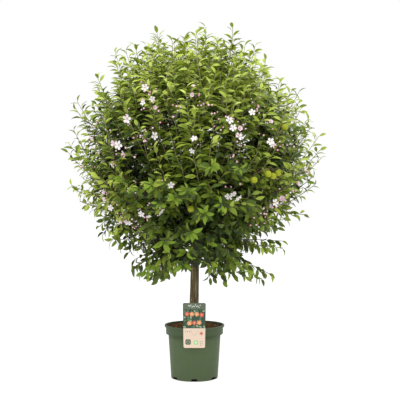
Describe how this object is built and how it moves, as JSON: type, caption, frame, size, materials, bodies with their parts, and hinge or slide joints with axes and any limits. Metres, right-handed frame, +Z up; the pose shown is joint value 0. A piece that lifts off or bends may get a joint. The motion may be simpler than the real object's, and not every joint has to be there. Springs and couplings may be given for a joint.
{
  "type": "potted apple tree",
  "caption": "Young apple tree with a ball-shaped leafy crown in blossom on a straight trunk, standing in a green plastic nursery pot with a hanging plant label.",
  "frame": {"origin": "centre of the pot's flat underside, where it stands on the ground", "axes": "+Z up along the trunk; -Y towards the side with the plant label; +X to the right as seen from the label side"},
  "size_m": [1.0339, 1.0267, 1.4151],
  "materials": {
    "pot_plastic": "satin moulded, muted green",
    "potting_soil": "dull, lumpy, dark brown",
    "label_card": "printed plastic card",
    "bark": "rough, fine upright furrows",
    "leaves": "slightly waxy leaf"
  },
  "bodies": {
    "root": {"pot": "pot_plastic", "soil": "potting_soil", "plant_label": "label_card", "trunk": "bark", "bough_top": "bark", "bough_upper_1": "bark", "bough_upper_2": "bark", "bough_upper_3": "bark", "bough_upper_4": "bark", "bough_middle_1": "bark", "bough_middle_2": "bark", "bough_middle_3": "bark", "bough_middle_4": "bark", "bough_middle_5": "bark", "bough_lower_1": "bark", "bough_lower_2": "bark", "bough_lower_3": "bark", "bough_lower_4": "bark", "foliage_top": "leaves", "foliage_upper_1": "leaves", "foliage_upper_2": "leaves", "foliage_upper_3": "leaves", "foliage_upper_4": "leaves", "foliage_middle_1": "leaves", "foliage_middle_2": "leaves", "foliage_middle_3": "leaves", "foliage_middle_4": "leaves", "foliage_middle_5": "leaves", "foliage_lower_1": "leaves", "foliage_lower_2": "leaves", "foliage_lower_3": "leaves", "foliage_lower_4": "leaves"}
  },
  "joints": []
}
